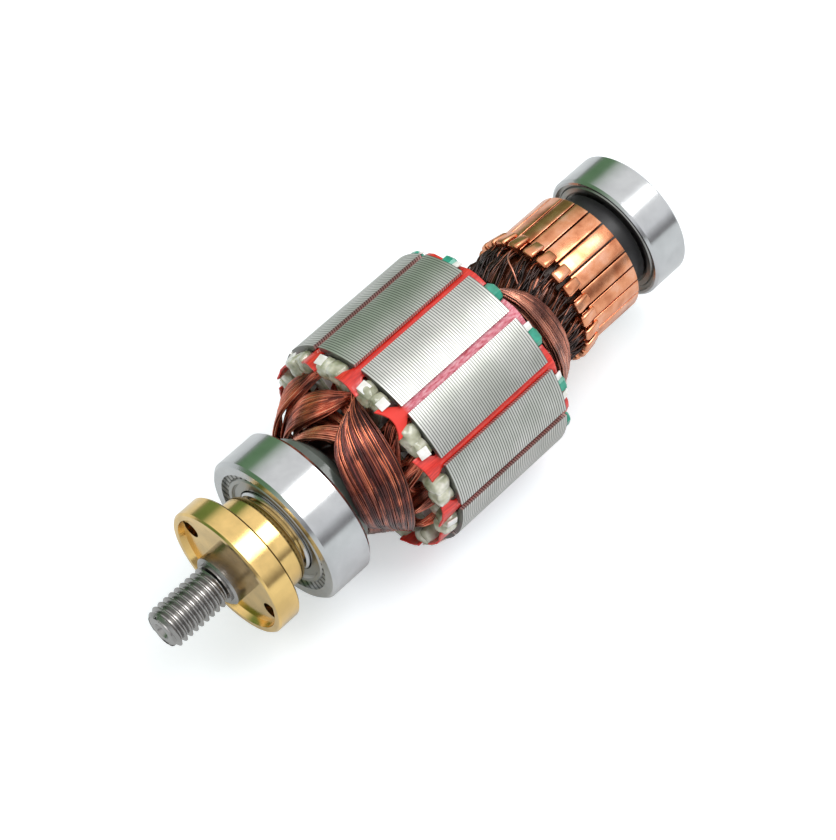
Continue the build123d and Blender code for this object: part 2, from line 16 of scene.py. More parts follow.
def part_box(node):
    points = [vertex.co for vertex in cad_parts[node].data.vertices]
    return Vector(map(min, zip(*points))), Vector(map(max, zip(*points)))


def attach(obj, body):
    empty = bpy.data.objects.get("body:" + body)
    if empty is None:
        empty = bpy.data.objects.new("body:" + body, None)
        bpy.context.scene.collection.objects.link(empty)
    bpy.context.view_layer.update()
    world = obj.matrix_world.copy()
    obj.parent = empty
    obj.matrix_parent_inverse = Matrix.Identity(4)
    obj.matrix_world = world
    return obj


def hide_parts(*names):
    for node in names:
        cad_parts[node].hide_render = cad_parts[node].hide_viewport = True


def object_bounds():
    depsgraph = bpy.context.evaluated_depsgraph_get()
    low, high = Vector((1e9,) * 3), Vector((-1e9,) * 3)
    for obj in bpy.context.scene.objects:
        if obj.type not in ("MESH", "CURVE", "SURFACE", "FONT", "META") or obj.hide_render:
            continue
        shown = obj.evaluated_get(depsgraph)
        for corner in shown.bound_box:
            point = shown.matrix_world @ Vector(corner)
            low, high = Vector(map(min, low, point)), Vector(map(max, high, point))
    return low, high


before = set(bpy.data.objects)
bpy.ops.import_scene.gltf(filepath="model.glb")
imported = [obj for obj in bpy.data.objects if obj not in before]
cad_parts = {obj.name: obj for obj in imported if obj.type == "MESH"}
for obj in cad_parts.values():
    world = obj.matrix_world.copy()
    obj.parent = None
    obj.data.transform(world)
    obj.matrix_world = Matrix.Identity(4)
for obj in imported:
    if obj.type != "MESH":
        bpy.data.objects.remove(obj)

CAD_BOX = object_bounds()
print("CAD box", [tuple(round(c, 4) for c in corner) for corner in CAD_BOX])
bpy.ops.object.select_all(action="DESELECT")
MM = 0.001
STACK_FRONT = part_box("lamination_stack")[0].x / MM
STACK_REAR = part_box("lamination_stack")[1].x / MM
MIDDLE = (0.03, 0, 0)
SLOT_COUNT = 12
SLOT_ANGLE = 360 / SLOT_COUNT

# %% [markdown]
# ## The camera
# The photograph was taken with a long lens, so the two bearings keep nearly their true ratio of sizes. The
# camera looks down at the rotor from its side. It is also rolled a little, because the rotor was turned about
# its own axis when it was photographed, while this model keeps one slot facing straight down.

# %% Camera
camera_data = bpy.data.cameras.new("camera")
camera_data.sensor_width = 36.0
camera_data.lens = 116.715
camera_data.clip_start = 0.01
camera = bpy.data.objects.new("camera", camera_data)
bpy.context.scene.collection.objects.link(camera)
CAMERA_RIGHT = Vector((0.69245, -0.71294, -0.11057))
CAMERA_UP = Vector((0.61775, 0.50673, 0.60133))
CAMERA_BACK = Vector((-0.37269, -0.48470, 0.79131))
CAMERA_PLACE = Vector((-148.81, -233.37, 376.90)) * MM
turn = Matrix((CAMERA_RIGHT, CAMERA_UP, CAMERA_BACK)).transposed().to_4x4()
camera.matrix_world = Matrix.Translation(CAMERA_PLACE) @ turn
bpy.context.scene.camera = camera
print("camera distance", round(CAMERA_PLACE.length, 3), "m")

# %% [markdown]
# ## Nodes that come back everywhere
# A material in Blender is a tree of nodes, and so is the light of the world. The same few nodes come back in
# nearly every tree of this file, so each gets a helper that adds it, feeds it and hands back its output.

# %% Node helpers
def add(tree, kind, **settings):
    """A node of this kind, with its settings."""
    node = tree.nodes.new("ShaderNode" + kind)
    for key, value in settings.items():
        setattr(node, key, value)
    return node


def feed(tree, value, socket):
    """Link this socket, or set it where the value is a number or a colour."""
    if isinstance(value, tuple):
        socket.default_value = (*value, 1)
    elif isinstance(value, (int, float)):
        socket.default_value = value
    else:
        tree.links.new(value, socket)


def coordinates(tree, kind="Object"):
    """X, Y and Z of the point that is being painted."""
    place = add(tree, "TexCoord")
    parts = add(tree, "SeparateXYZ")
    tree.links.new(place.outputs[kind], parts.inputs[0])
    return parts.outputs


def calculate(tree, operation, *values):
    """The answer to a sum of sockets and numbers."""
    node = add(tree, "Math", operation=operation)
    for value, socket in zip(values, node.inputs):
        feed(tree, value, socket)
    return node.outputs[0]


def share_between(tree, value, start, end):
    """A share that grows from 0 to 1 while the value goes from start to end."""
    node = add(tree, "MapRange")
    node.inputs["From Min"].default_value = start
    node.inputs["From Max"].default_value = end
    tree.links.new(value, node.inputs["Value"])
    return node.outputs["Result"]


def ramp(tree, value, *stops):
    """A colour ramp: stops of (place, colour)."""
    node = add(tree, "ValToRGB")
    elements = node.color_ramp.elements
    while len(elements) < len(stops):
        elements.new(0.5)
    for element, (place, colour) in zip(elements, stops):
        element.position = place
        element.color = (*colour, 1)
    tree.links.new(value, node.inputs["Fac"])
    return node.outputs["Color"]


def blend(tree, first, second, share=1.0, kind="MIX"):
    """The first colour, mixed with this share of the second or multiplied by it."""
    node = add(tree, "Mix", data_type="RGBA", blend_type=kind)
    feed(tree, share, node.inputs["Factor"])
    feed(tree, first, node.inputs["A"])
    feed(tree, second, node.inputs["B"])
    return node.outputs["Result"]

# %% [markdown]
# ## The floor and the light
# The photograph has a near white ground with the faintest blue in it. The ground is a large pale sheet that
# takes the object's soft shadow, and it glows a little for the camera alone, so that it reaches white with no
# more light on the object.

# %% Floor
FLOOR_SIZE = 6.0
FLOOR_GAP = 0.2 * MM
FLOOR_GLOW = 0.42
bpy.ops.mesh.primitive_plane_add(size=FLOOR_SIZE, location=(MIDDLE[0], 0, CAD_BOX[0].z - FLOOR_GAP))
floor = bpy.context.object
floor.name = "floor"
floor_material = bpy.data.materials.new("floor")
floor_material.use_nodes = True
tree = floor_material.node_tree
tree.nodes.clear()
sheet = add(tree, "BsdfDiffuse")
feed(tree, (0.80, 0.81, 0.83), sheet.inputs["Color"])
path = add(tree, "LightPath")
glow = add(tree, "Emission")
feed(tree, (0.93, 0.97, 1.0), glow.inputs["Color"])
feed(tree, calculate(tree, "MULTIPLY", path.outputs["Is Camera Ray"], FLOOR_GLOW), glow.inputs["Strength"])
both = add(tree, "AddShader")
tree.links.new(sheet.outputs[0], both.inputs[0])
tree.links.new(glow.outputs[0], both.inputs[1])
output = add(tree, "OutputMaterial")
tree.links.new(both.outputs[0], output.inputs["Surface"])
floor.data.materials.append(floor_material)
print("floor", FLOOR_SIZE, "m wide,", round((CAD_BOX[0].z - floor.location.z) / MM, 2), "mm below the rotor")

# %% [markdown]
# ## What the bright metal mirrors
# Ground steel and turned brass show the room more than their own colour. In the photograph they mirror a
# white ceiling, a dim greenish wall behind the rotor and a grey strip low in front of it. So the world is
# white where the camera sees it, and for every other ray it is that room: its brightness changes with
# height, and with the side on which one looks.

# %% World
world = bpy.data.worlds.new("studio")
bpy.context.scene.world = world
world.use_nodes = True
tree = world.node_tree
background = tree.nodes["Background"]
look = coordinates(tree, "Generated")
green_wall = ramp(tree, look["Z"], (0.0, (0.30, 0.33, 0.30)), (0.16, (0.15, 0.28, 0.14)),
                  (0.46, (0.17, 0.30, 0.16)), (0.66, (0.78, 0.82, 0.78)), (0.80, (1.0, 1.0, 1.0)))
grey_wall = ramp(tree, look["Z"], (0.0, (0.24, 0.23, 0.23)), (0.12, (0.34, 0.34, 0.35)),
                 (0.34, (0.95, 0.96, 0.98)), (1.0, (1.0, 1.0, 1.0)))
room = blend(tree, grey_wall, green_wall, share_between(tree, look["Y"], -0.25, 0.35))
path = add(tree, "LightPath")
seen = blend(tree, room, (0.99, 0.998, 1.0), path.outputs["Is Camera Ray"])
tree.links.new(seen, background.inputs["Color"])
background.inputs["Strength"].default_value = 1.0
print("world nodes:", len(tree.nodes))

# %% [markdown]
# One large soft lamp hangs above the rotor, on the camera's side and towards the commutator. It gives the
# highlights their shape and the rotor its soft shadow.

# %% Lamp
LAMP_PLACE = Vector((0.25, -0.25, 0.6))
LAMP_SIZE = 0.35
LAMP_POWER = 1.8
key = bpy.data.lights.new("key", "AREA")
key.shape = "RECTANGLE"
key.size = LAMP_SIZE
key.size_y = LAMP_SIZE
key.energy = LAMP_POWER
holder = bpy.data.objects.new("key", key)
bpy.context.scene.collection.objects.link(holder)
holder.location = LAMP_PLACE
holder.rotation_euler = (Vector(MIDDLE) - LAMP_PLACE).to_track_quat("-Z", "Y").to_euler()
print("lamp", LAMP_POWER, "W,", round((Vector(MIDDLE) - LAMP_PLACE).length, 3), "m from the rotor")

# %% [markdown]
# ## A finish from a few numbers
# Every finish here starts as Blender's Principled shader. The first helper sets the shader's own sockets and
# hands back the tree, so that each finish can add its own grain, lines or stains. Scales of noise are to the
# metre, and the depth of a bump is in metres.

# %% Finish helpers
def finish(name, colour, roughness, metallic=0.0, **sockets):
    """A new Principled material, its node tree and its shader."""
    material = bpy.data.materials.new(name)
    material.use_nodes = True
    shader = material.node_tree.nodes["Principled BSDF"]
    shader.inputs["Base Color"].default_value = (*colour, 1)
    shader.inputs["Roughness"].default_value = roughness
    shader.inputs["Metallic"].default_value = metallic
    for socket, value in sockets.items():
        shader.inputs[socket.replace("_", " ")].default_value = value
    return material, material.node_tree, shader


def object_point(tree, scale=(1, 1, 1)):
    """The point on the object that is being painted, stretched by scale."""
    place = add(tree, "TexCoord")
    mapping = add(tree, "Mapping")
    mapping.inputs["Scale"].default_value = scale
    tree.links.new(place.outputs["Object"], mapping.inputs["Vector"])
    return mapping.outputs["Vector"]


def noise(tree, vector, scale, detail=4.0):
    """Soft random patches."""
    node = add(tree, "TexNoise")
    node.inputs["Scale"].default_value = scale
    node.inputs["Detail"].default_value = detail
    tree.links.new(vector, node.inputs["Vector"])
    return node.outputs["Fac"]


def tint(tree, shader, value, *stops):
    """Colour the surface by a ramp over this value."""
    tree.links.new(ramp(tree, value, *stops), shader.inputs["Base Color"])


def bump(tree, shader, height, distance, strength=1.0):
    """Roughness of the surface, as deep as distance."""
    node = add(tree, "Bump")
    node.inputs["Distance"].default_value = distance
    node.inputs["Strength"].default_value = strength
    tree.links.new(height, node.inputs["Height"])
    tree.links.new(node.outputs["Normal"], shader.inputs["Normal"])


def paint(piece, material):
    """Give a piece this one finish."""
    piece.data.materials.clear()
    piece.data.materials.append(material)


def dress(node, material):
    """Give a CAD node another finish."""
    paint(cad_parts[node], material)

# %% [markdown]
# ## Turned and ground metal
# The rings, the shaft and the collar were all finished on a lathe or a grinder, so their marks run round the
# axis. A point's place along the shaft and its distance from the axis stay the same along such a mark, so a
# noise of these two alone draws it, on round faces and on flat ends.

# %% Turned metals
def axis_distance(tree, place):
    """How far a point lies from the shaft's axis."""
    flat = add(tree, "CombineXYZ")
    tree.links.new(place["Y"], flat.inputs["Y"])
    tree.links.new(place["Z"], flat.inputs["Z"])
    length = add(tree, "VectorMath", operation="LENGTH")
    tree.links.new(flat.outputs[0], length.inputs[0])
    return length.outputs["Value"]


def turned_point(tree):
    """Place along the shaft and distance from its axis: the same all round a turned mark."""
    place = coordinates(tree)
    both = add(tree, "CombineXYZ")
    tree.links.new(place["X"], both.inputs["X"])
    tree.links.new(axis_distance(tree, place), both.inputs["Y"])
    return both.outputs[0]


def turned_metal(name, colour, roughness, groove, mottle=0.12):
    """Metal with fine marks round the axis, as deep as groove, and faint cloudy stains."""
    material, tree, shader = finish(name, colour, roughness, 1.0)
    marks = noise(tree, turned_point(tree), 9000.0, 3.0)
    bump(tree, shader, marks, groove)
    clouds = noise(tree, object_point(tree), 260.0)
    dark = tuple(c * (1 - mottle) for c in colour)
    tint(tree, shader, clouds, (0.35, dark), (0.65, colour))
    return material


ring_steel = turned_metal("ground ring steel", (0.60, 0.61, 0.62), 0.16, 0.000002)
for node in ("front_outer_ring", "rear_outer_ring", "front_inner_ring", "rear_inner_ring"):
    dress(node, ring_steel)
print("nodes in a turned mark's material:", len(ring_steel.node_tree.nodes))

# %% [markdown]
# The shields are thin pressed rings, crimped into a groove of the outer ring. On the front bearing that
# leaves a row of small notches, and the shade in them is painted on as dark marks. The angle about the
# shaft, taken many times over in a sine, spaces them evenly.

# %% Crimped shields
SHIELD_GREY = (0.40, 0.40, 0.38)
CRIMP_PAINTED_SHADE = (0.07, 0.07, 0.065)
CRIMP_BAND = 1.3
CRIMP_MARKS = 44


def crimped_steel(name, rim):
    """Pressed steel with crimp marks in a band inside the rim, whose radius is in mm; the shade in the marks
    is painted dark.
    """
    material, tree, shader = finish(name, SHIELD_GREY, 0.30, 1.0)
    place = coordinates(tree)
    turn = calculate(tree, "ARCTAN2", place["Y"], place["Z"])
    wave = calculate(tree, "SINE", calculate(tree, "MULTIPLY", turn, CRIMP_MARKS))
    band = calculate(tree, "GREATER_THAN", axis_distance(tree, place), (rim - CRIMP_BAND) * MM)
    marks = calculate(tree, "MULTIPLY", wave, band)
    # The crimps are real; the dark colour in them is painted shade.
    tint(tree, shader, marks, (0.05, SHIELD_GREY), (0.45, CRIMP_PAINTED_SHADE))
    return material


front_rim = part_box("front_shields")[1].z / MM
dress("front_shields", crimped_steel("crimped shield steel", front_rim))
dress("rear_shields", turned_metal("plain shield steel", SHIELD_GREY, 0.30, 0.000001))
print(f"front shields: rim at {front_rim:.2f} mm, {CRIMP_MARKS} marks")

# %% [markdown]
# The balls are polished, the cages are pressed from plainer sheet, and the collar is bright brass. The shaft
# gets its own darker steel here, for the piece that is drawn further down.

# %% Balls, cages and brass
ball_steel = turned_metal("polished balls", (0.66, 0.66, 0.67), 0.06, 0.0)
cage_steel = turned_metal("pressed cage steel", (0.45, 0.44, 0.42), 0.35, 0.0)
for bearing in ("front", "rear"):
    dress(f"{bearing}_balls", ball_steel)
    dress(f"{bearing}_cage", cage_steel)
shaft_steel = turned_metal("turned shaft steel", (0.36, 0.35, 0.34), 0.26, 0.000004)
brass = turned_metal("turned brass", (0.90, 0.62, 0.24), 0.15, 0.000003, 0.2)
dress("brass_collar", brass)

# %% [markdown]
# ## Laminations
# The stack is fifty-three thin steel sheets, each with a coat of varnish that shows as a dark hairline. The
# sheets are half a millimetre thick. At a scale of 1 the wave texture repeats itself every tenth of pi, so pi
# is in the scale that gives it one wave to a sheet. The same lines are pressed in a little, and a slow noise
# dulls whole patches.

# %% Lamination finish
LAMINATION = 0.5 * MM
stack_material, tree, shader = finish("laminations", (0.5, 0.5, 0.47), 0.38, 0.85)
point = object_point(tree)
lines = add(tree, "TexWave", bands_direction="X", wave_profile="SIN")
lines.inputs["Scale"].default_value = math.pi / 10 / LAMINATION
tree.links.new(point, lines.inputs["Vector"])
sheets = ramp(tree, lines.outputs["Fac"], (0.0, (0.09, 0.09, 0.085)), (0.16, (0.34, 0.34, 0.33)),
              (0.36, (0.60, 0.60, 0.57)), (1.0, (0.70, 0.70, 0.67)))
patches = ramp(tree, noise(tree, point, 160.0), (0.35, (0.80, 0.82, 0.79)), (0.7, (1, 1, 1)))
tree.links.new(blend(tree, sheets, patches, kind="MULTIPLY"), shader.inputs["Base Color"])
bump(tree, shader, lines.outputs["Fac"], 0.00002, 0.5)
dress("lamination_stack", stack_material)
print("sheets in the stack:", round((STACK_REAR - STACK_FRONT) * MM / LAMINATION, 1))

# %% [markdown]
# ## Commutator copper
# The bars are bare copper, skimmed on a lathe and then run in by the brushes. So they have turned marks, a
# bright ground and brown clouds where the film of wear has settled.

# %% Commutator finish
bar_material, tree, shader = finish("commutator copper", (0.80, 0.38, 0.20), 0.22, 1.0)
clouds = noise(tree, object_point(tree), 330.0)
tint(tree, shader, clouds, (0.30, (0.56, 0.19, 0.09)), (0.52, (0.85, 0.36, 0.19)), (0.75, (0.95, 0.52, 0.36)))
bump(tree, shader, noise(tree, turned_point(tree), 7000.0, 3.0), 0.000004)

# %% [markdown]
# ## Moulded and plain dark pieces
# The domed spacer in front of the windings is a dark olive moulding, glossy enough to glint. The ring behind
# the commutator is black moulding compound, and the commutator's own body a dark brown one, both duller.

# %% Dark mouldings
def moulding(name, colour, roughness, grain):
    """A dark moulding with a fine grain and paler clouds."""
    material, tree, shader = finish(name, colour, roughness)
    point = object_point(tree)
    bump(tree, shader, noise(tree, point, 3000.0), grain)
    pale = tuple(c * 1.7 for c in colour)
    tint(tree, shader, noise(tree, point, 300.0), (0.3, colour), (0.8, pale))
    return material


dress("front_spacer", moulding("olive moulding", (0.095, 0.108, 0.095), 0.13, 0.000006))
dress("rear_spacer", moulding("black moulding", (0.012, 0.012, 0.013), 0.38, 0.00001))
dress("commutator_hub", moulding("brown moulding", (0.022, 0.014, 0.010), 0.45, 0.00001))

# %% [markdown]
# ## Making solids the way a shop would
# A few small tools serve all the pieces that are drawn again. A profile swept about the shaft's axis makes
# turned pieces, and the same sweep with an advance makes a screw thread. Modifiers are applied as soon as
# they are set, so that what is printed is the finished mesh.

# %% Modelling helpers
def between(low, high, share):
    """The value that lies this share of the way from low to high."""
    return low + (high - low) * share


def select_only(piece):
    """Make this the one selected, active object."""
    bpy.ops.object.select_all(action="DESELECT")
    bpy.context.view_layer.objects.active = piece
    piece.select_set(True)


def apply_modifier(piece, kind, **settings):
    """Add a modifier with these settings and apply it."""
    select_only(piece)
    bpy.ops.object.modifier_add(type=kind)
    modifier = piece.modifiers[-1]
    for key, value in settings.items():
        setattr(modifier, key, value)
    bpy.ops.object.modifier_apply(modifier=modifier.name)


def swept(name, profile, steps, advance=0.0, rounds=1):
    """A profile of (x, radius) in mm swept round the shaft's axis, with an advance per round for a thread."""
    mesh = bpy.data.meshes.new(name)
    points = [(x * MM, 0, radius * MM) for x, radius in profile]
    mesh.from_pydata(points, [(i, i + 1) for i in range(len(points) - 1)], [])
    piece = bpy.data.objects.new(name, mesh)
    bpy.context.scene.collection.objects.link(piece)
    apply_modifier(piece, "SCREW", axis="X", angle=2 * math.pi, steps=steps, render_steps=steps,
                   screw_offset=advance * MM, iterations=rounds, use_merge_vertices=True,
                   merge_threshold=1e-6)
    bpy.ops.object.mode_set(mode="EDIT")
    bpy.ops.mesh.select_all(action="SELECT")
    bpy.ops.mesh.remove_doubles(threshold=1e-6)
    bpy.ops.mesh.normals_make_consistent(inside=False)
    bpy.ops.object.mode_set(mode="OBJECT")
    return piece


def cut_off(piece, x, keep_above):
    """Cut a piece square across the shaft and close the cut."""
    select_only(piece)
    bpy.ops.object.mode_set(mode="EDIT")
    bpy.ops.mesh.select_all(action="SELECT")
    bpy.ops.mesh.bisect(plane_co=(x * MM, 0, 0), plane_no=(1, 0, 0), use_fill=True,
                        clear_inner=keep_above, clear_outer=not keep_above)
    bpy.ops.object.mode_set(mode="OBJECT")


def joined(name, pieces):
    """Several pieces as one object."""
    select_only(pieces[0])
    for piece in pieces[1:]:
        piece.select_set(True)
    bpy.ops.object.join()
    pieces[0].name = name
    return pieces[0]


def smooth(piece, degrees):
    """Shade smooth, but keep real edges sharp."""
    select_only(piece)
    bpy.ops.object.shade_smooth_by_angle(angle=math.radians(degrees))
    piece.select_set(False)


def settle(piece, slot, *nodes):
    """Tie a finished piece to the rotor, in place of these nodes."""
    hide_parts(*nodes)
    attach(piece, "rotor")
    print(piece.name, "for", ", ".join(nodes), "with", len(piece.data.polygons), "faces")

# %% [markdown]
# ## The shaft and its thread
# The thread is M8 with a pitch of 1.25 mm. One pitch of its outline is swept as a screw and cut to length,
# and its crests are drawn in to a chamfer at the tip. A turned tip with the lathe centre's hole and the
# plain bar with its shoulders are then joined to it.

# %% Shaft
SHAFT_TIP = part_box("shaft")[0].x / MM
SHAFT_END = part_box("shaft")[1].x / MM
THREAD_PITCH = 1.25
THREAD_R = 3.98
ROOT_R = 3.22
THREAD_LENGTH = 11.8
TIP_R = 3.2
CENTRE_R = 0.95
NECK_R = 3.99
SEAT_R = 4.99
CORE_R = 6
SEAT_START = -17.95
CORE_START = 18.55
CORE_END = 58.4
NECK_START = SHAFT_TIP + THREAD_LENGTH
rounds = math.ceil(THREAD_LENGTH / THREAD_PITCH) + 2
start = SHAFT_TIP - THREAD_PITCH
outline = [(0, ROOT_R), (0.1, ROOT_R), (0.44, THREAD_R - 0.03), (0.47, THREAD_R), (0.55, THREAD_R),
           (0.58, THREAD_R - 0.03), (0.92, ROOT_R), (1, ROOT_R)]
profile = [(start + share * THREAD_PITCH, radius) for share, radius in outline]
thread = swept("thread", profile, 48, THREAD_PITCH, rounds)
cut_off(thread, SHAFT_TIP, True)
cut_off(thread, NECK_START, False)
for vertex in thread.data.vertices:
    radius = math.hypot(vertex.co.y, vertex.co.z)
    limit = (TIP_R + vertex.co.x / MM - SHAFT_TIP) * MM
    if radius > limit:
        vertex.co.yz = vertex.co.yz * (limit / radius)
tip = swept("tip", [(SHAFT_TIP + 4.5, 0), (SHAFT_TIP + 4.0, CENTRE_R), (SHAFT_TIP + 1.1, CENTRE_R),
                    (SHAFT_TIP + 0.02, 1.6), (SHAFT_TIP - 0.01, 1.75), (SHAFT_TIP - 0.01, 2.95),
                    (SHAFT_TIP + 0.12, TIP_R), (SHAFT_TIP + 0.6, TIP_R - 0.05)], 64)
bar = swept("bar", [(NECK_START - 0.8, 0), (NECK_START - 0.8, 3.15), (NECK_START + 0.3, 3.25),
                    (NECK_START + 0.55, NECK_R), (SEAT_START, NECK_R), (SEAT_START, 4.6),
                    (SEAT_START + 0.4, SEAT_R), (CORE_START, SEAT_R), (CORE_START, CORE_R),
                    (CORE_END, CORE_R), (CORE_END, SEAT_R), (SHAFT_END - 0.6, SEAT_R),
                    (SHAFT_END, 4.4), (SHAFT_END, 1.6),
                    (SHAFT_END - 1.0, CENTRE_R), (SHAFT_END - 3.6, CENTRE_R), (SHAFT_END - 4.0, 0)], 96)
shaft = joined("turned_shaft", [thread, tip, bar])
paint(shaft, shaft_steel)
smooth(shaft, 30)
settle(shaft, "shaft", "shaft")

# %% [markdown]
# ## Slot wedges
# A strip of red fibre closes each slot. Its grain runs along the strip, so the noise that draws the grain is
# stretched that way, and a thin coat gives it a slight gloss.

# %% Red fibre
wedge_material, tree, shader = finish("red fibre", (0.62, 0.014, 0.010), 0.34, Coat_Weight=0.35)
fibre = noise(tree, object_point(tree, (300, 2600, 2600)), 1.0)
tint(tree, shader, fibre, (0.30, (0.52, 0.010, 0.008)), (0.60, (0.80, 0.034, 0.020)),
     (0.85, (0.88, 0.09, 0.05)))
bump(tree, shader, fibre, 0.00003, 0.5)

# %% [markdown]
# One strip has faded: where it lies in the slot it is pink and fluffy, and only its front end kept its red.

# %% Faded fibre
faded_material, tree, shader = finish("faded fibre", (0.72, 0.20, 0.24), 0.6)
fluff = noise(tree, object_point(tree, (900, 2600, 2600)), 1.0)
pink = ramp(tree, fluff, (0.30, (0.50, 0.05, 0.07)), (0.48, (0.72, 0.20, 0.26)), (0.72, (0.88, 0.50, 0.54)))
inside = share_between(tree, coordinates(tree)["X"], (STACK_FRONT + 0.2) * MM, (STACK_FRONT + 1.4) * MM)
tree.links.new(blend(tree, (0.80, 0.034, 0.020), pink, inside), shader.inputs["Base Color"])
bump(tree, shader, fluff, 0.00006, 0.8)

# %% [markdown]
# The strips were pushed in by hand, so each sticks out of the front by its own amount, is cut off at its
# own slant, and flares where the teeth no longer hold it. A strip starts as a flat grid over the topmost
# slot. Its rows and columns are moved as a hand would bend them, and then it is turned to its own slot.

# %% Wedges
WEDGE_ROWS = 60
WEDGE_COLUMNS = 8
WEDGE_THICKNESS = 0.4
WEDGE_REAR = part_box("slot_wedge_01")[1].x / MM
WEDGE_TOP = 20.5
WEDGE_MIDDLE = WEDGE_TOP - WEDGE_THICKNESS / 2
SHOULDER_DROP = 0.85
MOUTH_HALF = 0.75
LIP_HALF = 3.1
MOUTH_SHARE = 0.36
MOUTH_LENGTH = 1.5
FLARE_PACE = 1.35
TIP_SAG = 0.1
SCOOP_BITE = 0.16
SLANTS = (0.12, 0.0, -0.22, 0.20)
FADED_WEDGE = 1


def bent_wedge(name, reach, flare, slant, scoop, rng):
    """A strip under the teeth's lips that flares in front of the stack."""
    front = STACK_FRONT - reach
    length = WEDGE_REAR - front
    bpy.ops.mesh.primitive_grid_add(x_subdivisions=WEDGE_ROWS, y_subdivisions=WEDGE_COLUMNS, size=1,
                                    location=((front + length / 2) * MM, 0, WEDGE_MIDDLE * MM))
    piece = bpy.context.object
    piece.name = name
    piece.scale = (length * MM, 2 * LIP_HALF * MM, 1)
    bpy.ops.object.transform_apply(location=True, rotation=False, scale=True)
    for vertex in piece.data.vertices:
        x = vertex.co.x / MM
        y = vertex.co.y / MM
        out = max(0.0, (STACK_FRONT - x) / reach)
        pace = FLARE_PACE * out if x < STACK_FRONT else (x - STACK_FRONT) / MOUTH_LENGTH
        y *= between(MOUTH_SHARE, 1.0, min(1.0, pace)) + flare * out * out
        drop = SHOULDER_DROP * max(0.0, abs(y) - MOUTH_HALF) / (LIP_HALF - MOUTH_HALF)
        lift = scoop * out * out * (abs(y) / LIP_HALF) ** 2 - TIP_SAG * out
        x += out * (slant * y - SCOOP_BITE * scoop * y * y)
        z = WEDGE_MIDDLE - drop + lift + rng.uniform(-0.03, 0.03)
        vertex.co = Vector((x, y, z)) * MM
    apply_modifier(piece, "SOLIDIFY", thickness=WEDGE_THICKNESS * MM, offset=0)
    apply_modifier(piece, "BEVEL", width=0.09 * MM, segments=2, limit_method="ANGLE")
    return piece


def turn_about_shaft(piece, angle):
    """Turn a piece about the shaft's axis and leave its origin at the middle of the frame."""
    select_only(piece)
    bpy.context.scene.cursor.location = (0, 0, 0)
    bpy.ops.object.origin_set(type="ORIGIN_CURSOR")
    piece.rotation_euler = (math.radians(angle), 0, 0)
    bpy.ops.object.transform_apply(location=True, rotation=True, scale=True)


rng = random.Random(3)
for i in range(SLOT_COUNT):
    scoop = 0.9 if i == FADED_WEDGE else rng.uniform(0.0, 0.25)
    reach = rng.uniform(3.1, 3.6) - (0.8 if i == FADED_WEDGE else 0.0)
    wedge = bent_wedge(f"wedge_{i + 1:02d}", reach, rng.uniform(-0.08, 0.02), SLANTS[i % 4], scoop, rng)
    turn_about_shaft(wedge, SLOT_ANGLE * i)
    paint(wedge, faded_material if i == FADED_WEDGE else wedge_material)
    smooth(wedge, 40)
    settle(wedge, "wedge_red", f"slot_wedge_{i + 1:02d}")

# %% [markdown]
# ## The insulator beads
# A cream moulding covers the front face of the stack. At each tooth it swells into lumpy beads that keep the
# wire off the steel. The moulding is slightly see-through, and dabs of varnish have run over it.

# %% Cream moulding
cream_material, tree, shader = finish("cream moulding", (0.62, 0.62, 0.48), 0.22, Subsurface_Weight=0.35,
                                      Subsurface_Radius=(0.0012, 0.0011, 0.0007), Coat_Weight=1.0,
                                      Coat_Roughness=0.06)
milk = noise(tree, object_point(tree), 420.0, 2.0)
tint(tree, shader, milk, (0.32, (0.24, 0.25, 0.15)), (0.52, (0.50, 0.50, 0.37)), (0.70, (0.80, 0.78, 0.68)))

# %% [markdown]
# A bead starts as a box that is cut finely, pulled towards a ball and then pushed about by a cloudy texture.

# %% Beads
BEAD_PUSH = 0.9
clouds = bpy.data.textures.new("bead clouds", "CLOUDS")
clouds.noise_scale = 0.0024


def box(name, middle, size, tilt=(0, 0, 0)):
    """A box of this size about its middle, both in mm, tilted in degrees."""
    bpy.ops.mesh.primitive_cube_add(size=1, location=[value * MM for value in middle])
    piece = bpy.context.object
    piece.name = name
    piece.scale = [value * MM for value in size]
    piece.rotation_euler = [math.radians(angle) for angle in tilt]
    bpy.ops.object.transform_apply(location=True, rotation=True, scale=True)
    return piece


def lumpy_bead(name, x, radius, size, angle):
    """A rounded block with uneven sides, over the tooth at this angle."""
    piece = box(name, (x, 0, radius), size)
    bpy.ops.object.mode_set(mode="EDIT")
    bpy.ops.mesh.select_all(action="SELECT")
    bpy.ops.mesh.subdivide(number_cuts=7)
    bpy.ops.object.mode_set(mode="OBJECT")
    select_only(piece)
    bpy.ops.object.origin_set(type="ORIGIN_GEOMETRY")
    apply_modifier(piece, "CAST", factor=0.55, cast_type="SPHERE")
    turn_about_shaft(piece, angle)
    apply_modifier(piece, "DISPLACE", texture=clouds, texture_coords="LOCAL", strength=BEAD_PUSH * MM,
                   mid_level=0.5)
    apply_modifier(piece, "SUBSURF", levels=1, render_levels=1)
    return piece

# %% [markdown]
# A turned plate with a finger over each tooth carries the beads, two of them side by side at the finger's
# end.

